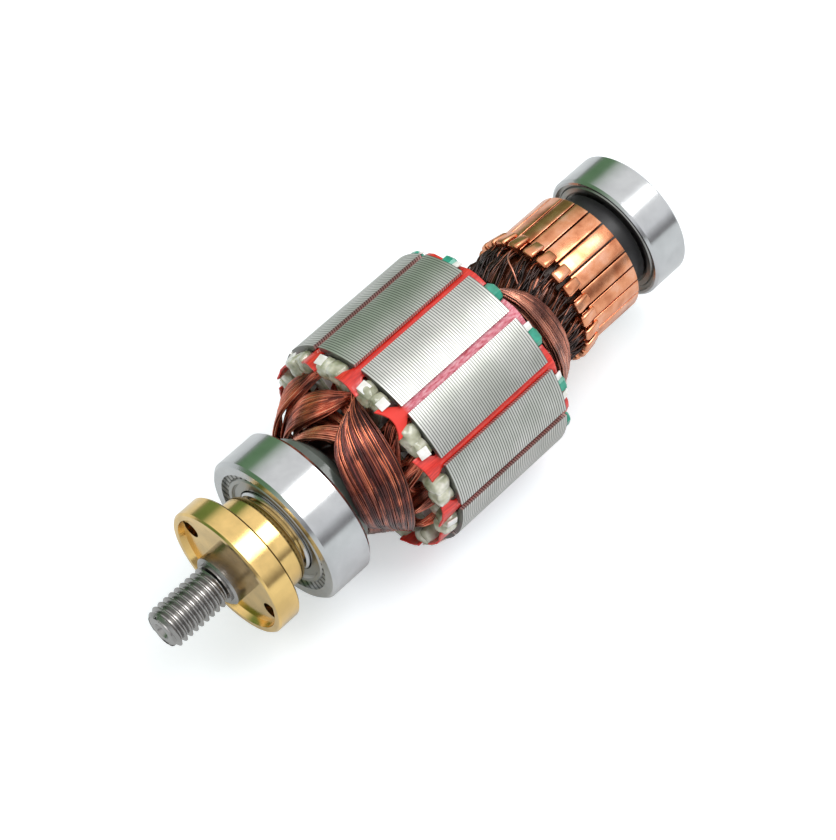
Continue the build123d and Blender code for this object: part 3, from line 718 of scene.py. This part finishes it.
# %% Front insulator
PLATE_FRONT = 18.56
PLATE_REAR = 20.03
PLATE_BORE_R = 6.05
PLATE_R = 10.4
FINGER_MIDDLE = (19.3, 0, 14.5)
FINGER_SIZE = (1.46, 3.5, 9.4)
BEAD_R = 18.9
plate_outline = [(PLATE_FRONT, PLATE_BORE_R), (PLATE_FRONT, PLATE_R), (PLATE_REAR, PLATE_R),
                 (PLATE_REAR, PLATE_BORE_R), (PLATE_FRONT, PLATE_BORE_R)]
pieces = [swept("front_plate", plate_outline, 72)]
for i in range(SLOT_COUNT):
    tooth = SLOT_ANGLE * (i + 0.5)
    cover = box("cover", FINGER_MIDDLE, FINGER_SIZE)
    apply_modifier(cover, "BEVEL", width=0.25 * MM, segments=2)
    turn_about_shaft(cover, tooth)
    pieces.append(cover)
    for side in (-1, 1):
        length = rng.uniform(2.6, 3.5)
        size = (length, rng.uniform(2.9, 3.4), rng.uniform(3.1, 3.5))
        place = tooth + side * rng.uniform(3.4, 4.4)
        pieces.append(lumpy_bead(f"bead_{i}_{side}", STACK_FRONT - length / 2, BEAD_R, size, place))
front_insulator = joined("front_beads", pieces)
paint(front_insulator, cream_material)
smooth(front_insulator, 50)
settle(front_insulator, "cream_insulator", "front_insulator")

# %% [markdown]
# ## Slot papers
# Folded white paper lines each slot. The part that lies in the slot is a plain folded sheet. Its cuff shows
# as a small white square beside the wedge: at the front on one side, and at the rear on the other.

# %% Paper
paper_material, tree, shader = finish("slot paper", (0.86, 0.85, 0.82), 0.4)
mottle = noise(tree, object_point(tree), 900.0)
tint(tree, shader, mottle, (0.3, (0.74, 0.72, 0.66)), (0.6, (0.90, 0.89, 0.87)))
PAPER = 0.26
PAPER_OVERHANG = 1.15
PAPER_FOLDS = ((-3.15, 18.85), (-0.98, 10.62), (0.98, 10.62), (3.15, 18.85))
FRONT_TAB_X = 18.2
FRONT_TAB = 2.0
REAR_TAB_X = 47.5
REAR_TAB = 1.5
TAB_OFFSET = 3.2
TAB_R = 20.45
TAB_ROLL = 14
TAB_PITCH = 12
TAB_SIDES = (1, -1, -1, 1, 1, -1, 1, -1, 1, -1, 1, 1)
pieces = []
for i in range(SLOT_COUNT):
    points = []
    for x in (STACK_FRONT - PAPER_OVERHANG, STACK_REAR + PAPER_OVERHANG):
        points += [(x * MM, y * MM, z * MM) for y, z in PAPER_FOLDS]
    mesh = bpy.data.meshes.new(f"paper_{i}")
    mesh.from_pydata(points, [], [(0, 1, 5, 4), (1, 2, 6, 5), (2, 3, 7, 6)])
    sheet = bpy.data.objects.new(f"paper_{i}", mesh)
    bpy.context.scene.collection.objects.link(sheet)
    apply_modifier(sheet, "SOLIDIFY", thickness=PAPER * MM, offset=0)
    turn_about_shaft(sheet, SLOT_ANGLE * i)
    pieces.append(sheet)
    front_tab = (FRONT_TAB_X, -TAB_SIDES[i], FRONT_TAB, -TAB_PITCH)
    rear_tab = (REAR_TAB_X, TAB_SIDES[i], REAR_TAB, TAB_PITCH)
    for x, side, size, pitch in (front_tab, rear_tab):
        tilt = (-side * TAB_ROLL, pitch, 0)
        tab = box("tab", (x, side * TAB_OFFSET, TAB_R), (size, 0.9 * size, PAPER), tilt)
        apply_modifier(tab, "BEVEL", width=0.06 * MM, segments=2)
        turn_about_shaft(tab, SLOT_ANGLE * i)
        pieces.append(tab)
papers = joined("slot_papers", pieces)
paint(papers, paper_material)
smooth(papers, 30)
settle(papers, "liner_paper", "slot_liners")

# %% [markdown]
# ## The green insulator at the rear
# The rear face has the same moulding in green. It keeps the frame's shape, with deeper and paler patches.

# %% Green moulding
green_material, tree, shader = finish("green moulding", (0.025, 0.34, 0.22), 0.28, Coat_Weight=0.3)
patches = noise(tree, object_point(tree), 500.0)
tint(tree, shader, patches, (0.3, (0.012, 0.20, 0.13)), (0.7, (0.045, 0.44, 0.30)))
dress("rear_insulator", green_material)

# %% [markdown]
# ## Bars and hooks
# Each bar is a copper wedge whose front end is cut narrow and folded back over itself as a hook, which grips
# the leads. The narrow stems leave black notches between the hooks. A bar and a hook start as boxes, are
# bevelled, and are then bent round the axis by turning their sideways place into an angle.

# %% Commutator
BAR_COUNT = 24
BAR_STEP = 360 / BAR_COUNT
FIRST_BAR = 14.13
BAR_GAP = 0.32
TRACK_R = 12.5
BAR_THICKNESS = 1.9
BAR_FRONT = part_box("commutator_bars")[0].x / MM
BAR_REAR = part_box("commutator_bars")[1].x / MM
BAR_START = BAR_FRONT + 2.9
HALF = (2 * math.pi * TRACK_R / BAR_COUNT - BAR_GAP) / 2
HOOK_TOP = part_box("commutator_bars")[1].z / MM
HOOK_HALF = 1.15
STEM_HALF = 1.0


def block(name, low, high, bevel, cuts):
    """A box between two corners in mm, bevelled, and cut lengthways so that it can bend."""
    piece = box(name, [(a + b) / 2 for a, b in zip(low, high)], [b - a for a, b in zip(low, high)])
    apply_modifier(piece, "BEVEL", width=bevel * MM, segments=3, limit_method="ANGLE")
    for share in range(1, cuts + 1):
        bpy.ops.object.mode_set(mode="EDIT")
        bpy.ops.mesh.select_all(action="SELECT")
        side = between(low[1], high[1], share / (cuts + 1))
        bpy.ops.mesh.bisect(plane_co=(0, side * MM, 0), plane_no=(0, 1, 0))
        bpy.ops.object.mode_set(mode="OBJECT")
    return piece


def wrap(piece, angle):
    """Bend a flat piece round the shaft: sideways becomes angle, height becomes radius."""
    for vertex in piece.data.vertices:
        turn = math.radians(angle) - vertex.co.y / (TRACK_R * MM)
        radius = vertex.co.z
        vertex.co.yz = (-radius * math.sin(turn), radius * math.cos(turn))


bar = block("bar", (BAR_START, -HALF, TRACK_R - BAR_THICKNESS), (BAR_REAR, HALF, TRACK_R), 0.12, 5)
stem = block("stem", (BAR_FRONT + 0.4, -STEM_HALF, TRACK_R - 1.6),
             (BAR_START + 0.3, STEM_HALF, TRACK_R - 0.25), 0.15, 2)
fold = block("fold", (BAR_FRONT, -HOOK_HALF, TRACK_R - 1.1),
             (BAR_FRONT + 1.1, HOOK_HALF, HOOK_TOP - 0.06), 0.5, 2)
finger = block("finger", (BAR_FRONT + 0.2, -HOOK_HALF, TRACK_R + 0.1),
               (BAR_FRONT + 3.8, HOOK_HALF, HOOK_TOP), 0.48, 2)
for vertex in finger.data.vertices:
    back = max(0.0, vertex.co.x / MM - BAR_FRONT - 1.8) / 2.0
    vertex.co.z -= 0.55 * back * MM
    vertex.co.y *= 1 - 0.12 * back

# %% [markdown]
# The four patterns are copied and bent to each bar's place. No two hooks were folded quite alike, so fold and
# finger lean a little by chance.

# %% Bars in their places
patterns = [bar, stem, fold, finger]
rng = random.Random(8)
pieces = []
for i in range(BAR_COUNT):
    lean = rng.uniform(-0.9, 0.9)
    for pattern in patterns:
        piece = bpy.data.objects.new(pattern.name, pattern.data.copy())
        bpy.context.scene.collection.objects.link(piece)
        wrap(piece, FIRST_BAR + BAR_STEP * i + (lean if pattern in (fold, finger) else 0))
        pieces.append(piece)
for pattern in patterns:
    bpy.data.objects.remove(pattern)
bars = joined("copper_bars", pieces)
paint(bars, bar_material)
smooth(bars, 40)
settle(bars, "commutator_copper", "commutator_bars")

# %% [markdown]
# ## Enamelled copper wire
# The windings are hundreds of turns of thin copper wire under clear, brownish enamel. It shines orange
# where it catches the lamp and looks nearly black in its neighbours' shadow. Each wire also gets a shade of
# its own by chance, from nearly black to bright orange: partly a random tone, and partly painted shade and
# painted highlight on single wires. The shades turn from the front head's to the rear head's along the
# shaft, and a slow noise lays uneven varnish over them all.

# %% Wire finish
def own_shade(tree, dark, middle, bright):
    """A shade that each wire has for itself by chance, partly painted shade and painted highlight."""
    chance = add(tree, "NewGeometry").outputs["Random Per Island"]
    return ramp(tree, chance, (0.0, dark), (0.40, middle), (0.66, middle), (1.0, bright))


def wire_finish(name, front_shades, rear_shades, roughness):
    """Enamelled wire with these dark, middle and bright shades at the front and at the rear."""
    material, tree, shader = finish(name, front_shades[1], roughness, 0.8, Coat_Weight=0.5,
                                    Coat_Roughness=0.1)
    along = share_between(tree, coordinates(tree)["X"], STACK_FRONT * MM, STACK_REAR * MM)
    shade = blend(tree, own_shade(tree, *front_shades), own_shade(tree, *rear_shades), along)
    patches = noise(tree, object_point(tree), 260.0, 2.0)
    varnish = ramp(tree, patches, (0.38, (0.40, 0.36, 0.38)), (0.64, (1.25, 1.2, 1.15)))
    tree.links.new(blend(tree, shade, varnish, kind="MULTIPLY"), shader.inputs["Base Color"])
    return material


# The big ribbon's wire is a darker copy with painted shade, and the other coils' wire is a brighter copy with
# painted light.
PAINTED_SHADE_COLOURS = ((0.050, 0.013, 0.012), (0.20, 0.045, 0.034), (0.92, 0.29, 0.15))
PAINTED_LIGHT_COLOURS = ((0.17, 0.036, 0.024), (0.74, 0.18, 0.095), (1.0, 0.42, 0.26))
PINK_SHADES = ((0.12, 0.040, 0.030), (0.50, 0.18, 0.12), (0.85, 0.38, 0.26))
LEAD_SHADES = ((0.010, 0.005, 0.004), (0.035, 0.012, 0.008), (0.30, 0.085, 0.035))
painted_shade_wire = wire_finish("enamelled wire with painted shade", PAINTED_SHADE_COLOURS, PINK_SHADES, 0.2)
painted_light_wire = wire_finish("enamelled wire with painted light", PAINTED_LIGHT_COLOURS, PINK_SHADES, 0.22)
lead_material = wire_finish("varnished leads", LEAD_SHADES, LEAD_SHADES, 0.22)
# The core's dark varnish finish is painted shade, for the solid that fills the front head.
shade_core_material = wire_finish("painted shade core", LEAD_SHADES, LEAD_SHADES, 0.4)

# %% [markdown]
# ## Where a turn of wire runs
# A coil runs out of one slot, round the hub and back through the slot five places on, then the same at the
# other end of the stack. The places of a turn are counted from the frame's own stack: a depth out from its
# face, a radius, and an angle from the coil's first slot. A NURBS curve of low order rounds the corners as
# stiff wire does.

# %% Places for the wire
COIL_SPAN = 5 * SLOT_ANGLE
WIRE_D = 0.25
INNER_LAYER = 11.2
OUTER_LAYER = 15.15
LAYER_HEIGHT = 3.6
SLOT_SPREAD = 3.6
RUN_INSET = 0.8


def polar(x, radius, angle):
    """A point from its place along the shaft and its radius, in mm, and its degrees from +Z towards -Y."""
    turn = math.radians(angle)
    return Vector((x, -radius * math.sin(turn), radius * math.cos(turn))) * MM


def outside(outward, depth):
    """The place along the shaft at this depth outside the stack, at its front or its rear."""
    return STACK_REAR + depth if outward > 0 else STACK_FRONT - depth


def straight_run(angle, radius, sideways, forward):
    """The run of a turn inside a slot, towards the rear or back to the front."""
    place = angle + math.degrees(sideways / radius)
    ends = [STACK_FRONT + RUN_INSET, (STACK_FRONT + STACK_REAR) / 2, STACK_REAR - RUN_INSET]
    if not forward:
        ends.reverse()
    return [polar(x, radius, place) for x in ends]


def wires(name, turns, diameter, material, closed=True):
    """Bent wires of this diameter through these lists of points, as one mesh."""
    curve = bpy.data.curves.new(name, "CURVE")
    curve.dimensions = "3D"
    curve.bevel_depth = diameter / 2 * MM
    curve.bevel_resolution = 1
    curve.use_fill_caps = not closed
    for points in turns:
        spline = curve.splines.new("NURBS")
        spline.points.add(len(points) - 1)
        for target, place in zip(spline.points, points):
            target.co = (*place, 1)
        spline.use_cyclic_u = closed
        spline.use_endpoint_u = not closed
        spline.order_u = 3
        spline.resolution_u = 3
    holder = bpy.data.objects.new(name, curve)
    bpy.context.scene.collection.objects.link(holder)
    bpy.context.view_layer.objects.active = holder
    holder.select_set(True)
    bpy.ops.object.convert(target="MESH")
    piece = bpy.context.object
    paint(piece, material)
    bpy.ops.object.shade_smooth()
    piece.select_set(False)
    lengths = []
    for points in turns:
        ahead = points[1:] + points[:1] if closed else points[1:]
        lengths.append(sum((b - a).length for a, b in zip(points, ahead)) / MM)
    mean = sum(lengths) / len(lengths)
    print(f"{name}: {len(turns)} wires of {diameter} mm, {mean:.1f} mm long on average")
    return piece

# %% [markdown]
# ## The four bundles that were wound last
# Wound by hand, the turns of the last coils spread over the head as flat ribbons, and they are what one sees
# first. The path of a ribbon is written as a few rows: the angle, then (depth, height) of the edge that lies
# furthest from the stack and of the edge that lies nearest to it. Heights count from the slots' outer layer.
# Every turn runs somewhere between the two edges, and the turns are laid in three layers.

# %% Ribbons
BIG_BUNDLE = [
    (5, (6.4, -1.0), (2.2, 1.0)),
    (18, (11.6, -1.6), (3.2, 1.4)),
    (36, (13.4, -2.2), (4.2, 1.6)),
    (58, (13.8, -3.0), (5.0, 1.4)),
    (80, (13.2, -4.0), (5.8, 0.8)),
    (102, (11.8, -4.8), (5.6, 0.2)),
    (122, (9.2, -4.2), (4.6, 0.2)),
    (138, (6.0, -1.6), (3.2, 0.8)),
]
SLIM_BUNDLE = [
    (12, (4.6, 0.2), (2.2, 2.0)),
    (30, (8.8, -0.9), (4.2, 2.0)),
    (50, (10.8, -1.9), (6.4, 0.9)),
    (75, (11.6, -2.1), (7.4, 0.7)),
    (100, (10.8, -1.9), (6.4, 0.9)),
    (120, (8.8, -0.9), (4.2, 2.0)),
    (138, (4.6, 0.2), (2.2, 2.0)),
]
REAR_BUNDLE = [
    (15, (6.0, -0.5), (3.2, 1.8)),
    (35, (9.2, -1.7), (4.6, 1.3)),
    (75, (10.4, -2.5), (5.4, 0.7)),
    (115, (9.2, -1.7), (4.6, 1.3)),
    (135, (6.0, -0.5), (3.2, 1.8)),
]
FIFTH_BUNDLE = [
    (15, (5.5, -1.6), (2.8, 0.8)),
    (35, (9.0, -3.6), (5.5, -0.9)),
    (56, (10.8, -4.9), (7.5, -2.3)),
    (75, (11.0, -5.1), (8.0, -2.7)),
    (94, (11.0, -4.6), (6.6, -1.7)),
    (115, (9.8, -3.6), (4.6, -0.4)),
    (136, (5.6, -2.6), (2.2, -0.2)),
]
FIFTH_REAR = [
    (15, (3.4, -1.2), (2.2, 1.2)),
    (40, (6.0, -4.2), (3.6, -1.4)),
    (75, (6.6, -5.0), (4.6, -2.6)),
    (110, (6.0, -4.6), (3.6, -2.4)),
    (135, (3.4, -3.2), (2.2, -1.2)),
]
RIBBON_LIFTS = (0.8, 0.35, -0.7)


def ribbon_points(rows, outward, first, across, lift, rng):
    """The points of one turn along a ribbon, from the coil's first slot to its last."""
    points = []
    for angle, far, near in rows:
        edge = Vector((near[0] - far[0], near[1] - far[1])).normalized()
        rise = lift + rng.uniform(-0.10, 0.10)
        place = across + rng.uniform(-0.02, 0.02)
        depth = between(far[0], near[0], place) + edge.y * rise
        height = between(far[1], near[1], place) - edge.x * rise
        turn = first + angle + rng.uniform(-1, 1)
        points.append(polar(outside(outward, depth), OUTER_LAYER + height, turn))
    return points


def ribbon_coil(name, first, last_layer, front_rows, rear_rows, columns, material, seed):
    """A coil whose turns spread as a ribbon over both heads, from the outer to the last slot's layer."""
    rng = random.Random(seed)
    last = first + COIL_SPAN
    turns = []
    for lift, count in zip(RIBBON_LIFTS, columns):
        for column in range(count):
            across = (column + rng.uniform(0.1, 0.9)) / count
            up = LAYER_HEIGHT * between(0.15, 0.85, rng.random())
            sideways = (across - 0.5) * SLOT_SPREAD
            points = straight_run(first, OUTER_LAYER + up, -sideways, False)
            points += ribbon_points(front_rows, -1, first, across, lift, rng)
            points += straight_run(last, last_layer + up, sideways * 0.7, True)
            points += reversed(ribbon_points(rear_rows, 1, first, across, lift, rng))
            turns.append(points)
    return wires(name, turns, WIRE_D, material)


# The big bundle takes the wire with painted shade, the other three the wire with painted light.
RIBBON_COILS = (
    ("big_bundle", "coil_11", 0, OUTER_LAYER, BIG_BUNDLE, REAR_BUNDLE, (62, 44, 20), painted_shade_wire),
    ("slim_bundle", "coil_12", 180, OUTER_LAYER, SLIM_BUNDLE, REAR_BUNDLE, (48, 36, 16), painted_light_wire),
    ("fifth_bundle_a", "coil_09", 30, INNER_LAYER, FIFTH_BUNDLE, FIFTH_REAR, (40, 32, 16), painted_light_wire),
    ("fifth_bundle_b", "coil_10", 210, INNER_LAYER, FIFTH_BUNDLE, FIFTH_REAR, (46, 38, 20), painted_light_wire),
)
for seed, (name, node, *shape) in enumerate(RIBBON_COILS):
    settle(ribbon_coil(name, *shape, 11 + seed), "winding_copper", node)

# %% [markdown]
# ## The coils beneath
# The eight coils below come straight out of their slots, turn in when they reach their own level and hug the
# hub. They are what one sees in the dark hollow between two bundles.

# %% Inner coils
INNER_COILS = 8
INNER_TURNS = 44
INNER_SPREAD = 2.4
LOOP_RADIUS = 7.4
LOOP_WIDTH = 2.7
SHOULDER_R = 18.9
SHOULDER_SLOPE = 0.55
HEAD_FLOOR = {-1: 1.65, 1: 1.35}
LEVEL_STEP = {-1: 1.7, 1: 1.12}


def hugging_points(outward, first, low_first, low_last, level, share, rise, rng):
    """The points of one turn in one head: out of a slot, round the hub at the coil's level, and back."""
    depth = HEAD_FLOOR[outward] + LEVEL_STEP[outward] * (level + 0.15 + 0.7 * share)
    loop = LOOP_RADIUS + LOOP_WIDTH * rise
    points = []
    for low, mirror in ((low_first, False), (low_last, True)):
        slot_radius = low + LAYER_HEIGHT * between(0.15, 0.7, rise)
        turn_in = min(slot_radius, SHOULDER_R - SHOULDER_SLOPE * depth)
        rows = [
            (0, depth * 0.45, between(slot_radius, turn_in, 0.4)),
            (6, depth - 0.5, turn_in - 0.4),
            (24, depth, between(loop, turn_in, 0.35)),
            (46, depth, loop),
            (66, depth, loop - 0.2),
        ]
        chain = [(COIL_SPAN - angle, d, r) for angle, d, r in reversed(rows)] if mirror else rows
        for angle, d, r in chain:
            place = first + angle + rng.uniform(-1.5, 1.5)
            x = outside(outward, d + rng.uniform(-0.12, 0.12))
            points.append(polar(x, r + rng.uniform(-0.12, 0.12), place))
    return points


def inner_coil(name, level, side, seed):
    """A coil that hugs the hub at its own level in both heads."""
    rng = random.Random(seed)
    first = SLOT_ANGLE * (5 - level) + 180 * side
    low_first = OUTER_LAYER if level else INNER_LAYER
    turns = []
    for i in range(INNER_TURNS):
        share = rng.random()
        rise = (i + rng.random()) / INNER_TURNS
        sideways = rng.uniform(-0.5, 0.5) * (SLOT_SPREAD if level else INNER_SPREAD)
        low = LAYER_HEIGHT * between(0.15, 0.85, rise)
        points = straight_run(first, low_first + low, -sideways, False)
        points += hugging_points(-1, first, low_first, INNER_LAYER, level, share, rise, rng)
        points += straight_run(first + COIL_SPAN, INNER_LAYER + low, sideways * 0.6, True)
        points += reversed(hugging_points(1, first, low_first, INNER_LAYER, level, share, rise, rng))
        turns.append(points)
    return wires(name, turns, WIRE_D, painted_light_wire)


# A dark solid inside the front head is painted shade: it stands for the shade between the coils and hides the
# white ground behind them.
shade_core_outline = [(8.2, 6.2), (8.2, 7.0), (11, 7.6), (15, 8.2), (18.4, 8.8), (18.4, 6.2), (8.2, 6.2)]
front_shade_core = swept("front_shade_core", shade_core_outline, 72)
paint(front_shade_core, shade_core_material)
smooth(front_shade_core, 40)
settle(front_shade_core, "winding_copper", "coil_01")
for i in range(INNER_COILS):
    level, side = divmod(i, 2)
    coil = inner_coil(f"inner_coil_{i + 1:02d}", level, side, 31 + i)
    settle(coil, "winding_copper", f"coil_{i + 1:02d}")

# %% [markdown]
# Under most wedges a bunch of turns comes out of the slot and drops at a slant beneath the ribbons. Each of
# its strands leaves the slot level, then falls towards the hub as it swings round the shaft. A wider bunch
# crosses the hollow beside the big ribbon. Together they fill the gaps that one looks into.

# %% Slot ends
OPEN_SLOTS = (0, 1, 2, 3, 6, 7, 8, 9)
STRANDS_PER_SLOT = 34
HOLLOW_STRANDS = 60
END_WIRE_D = 0.30
rng = random.Random(17)
turns = []
for slot in OPEN_SLOTS:
    for strand in range(STRANDS_PER_SLOT):
        radius = rng.uniform(13.2, 17.4)
        angle = SLOT_ANGLE * slot + rng.uniform(-3.4, 3.4)
        rise = rng.uniform(0.0, 1.2)
        turns.append([
            polar(STACK_FRONT + 1.5, radius, angle),
            polar(STACK_FRONT - 1.4, radius, angle),
            polar(STACK_FRONT - 3.4, radius - 1.2, angle + 6),
            polar(STACK_FRONT - 5.8, between(radius, 11.4, 0.65) + rise * 0.3, angle + 17),
            polar(STACK_FRONT - 8.2, 10.2 + rise, angle + 31),
            polar(STACK_FRONT - 9.6, 9.2 + rise, angle + 46),
        ])
for strand in range(HOLLOW_STRANDS):
    aside = rng.uniform(-1.9, 1.9)
    rise = rng.uniform(0.0, 1.0)
    turns.append([
        polar(8.6 + aside * 0.5, 9.6 + rise, -34),
        polar(9.8 + aside, 11.0 + rise, -16),
        polar(11.6 + aside, 12.0 + rise, 2),
        polar(13.6 + aside, 12.3 + rise, 20),
        polar(15.6 + aside * 0.7, 12.0 + rise, 40),
    ])
settle(wires("slot_ends", turns, END_WIRE_D, painted_light_wire, closed=False), "winding_copper", "coil_02")

# %% [markdown]
# ## The leads to the commutator
# On the real rotor a pair of wires goes from the rear head to each hook, stiff with dark varnish that hangs
# between them in threads. Nine strands to a hook give that look. Most lean one way, and one in nine crosses
# its neighbours. One bright wire has come loose and lies over them all. A solid core closes the view
# beneath.

# %% Leads
LEADS_PER_BAR = 9
LEAD_D = 0.36
STRAY_ROUTE = ((60.4, 12.9, -14), (58.4, 13.9, -9), (57.0, 14.3, -2), (56.2, 13.9, 6), (55.4, 12.8, 13))
rng = random.Random(5)
turns = []
for i in range(BAR_COUNT):
    for strand in range(LEADS_PER_BAR):
        end = FIRST_BAR + BAR_STEP * i + rng.uniform(-5.5, 5.5)
        swing = rng.uniform(2, 16) if strand else rng.uniform(-30, 30)
        foot = rng.uniform(10.2, 12.6)
        turns.append([
            polar(BAR_FRONT + 0.3, 12.0 + rng.uniform(-0.5, 0.4), end),
            polar(BAR_FRONT - 1.2, 12.2 + rng.uniform(-0.6, 0.5), end + swing * 0.1),
            polar(BAR_FRONT - 3.2, 12.0 + rng.uniform(-0.7, 0.6), end + swing * 0.4),
            polar(BAR_FRONT - 5.2, foot + 0.2, end + swing * 0.75),
            polar(BAR_FRONT - 7.4, foot - 1.0, end + swing),
        ])
strands = wires("strands", turns, LEAD_D, lead_material, closed=False)
rear_core = swept("core", [(BAR_FRONT - 8.4, 7.2), (BAR_FRONT - 8.0, 9.2), (BAR_FRONT - 5.0, 10.4),
                           (BAR_FRONT - 1.5, 11.4), (BAR_FRONT - 0.05, 11.2), (BAR_FRONT - 0.05, 7.2)], 72)
paint(rear_core, lead_material)
leads = joined("leads", [strands, rear_core])
leads.select_set(False)
settle(leads, "winding_copper", "lead_wires")
stray = [polar(x, radius, angle) for x, radius, angle in STRAY_ROUTE]
settle(wires("stray_wire", [stray], LEAD_D, painted_light_wire, closed=False), "winding_copper", "lead_wires")

# %% [markdown]
# ## The last lines
# The Standard view shows the colours as they were set.

# %% View settings
bpy.context.scene.view_settings.view_transform = "Standard"
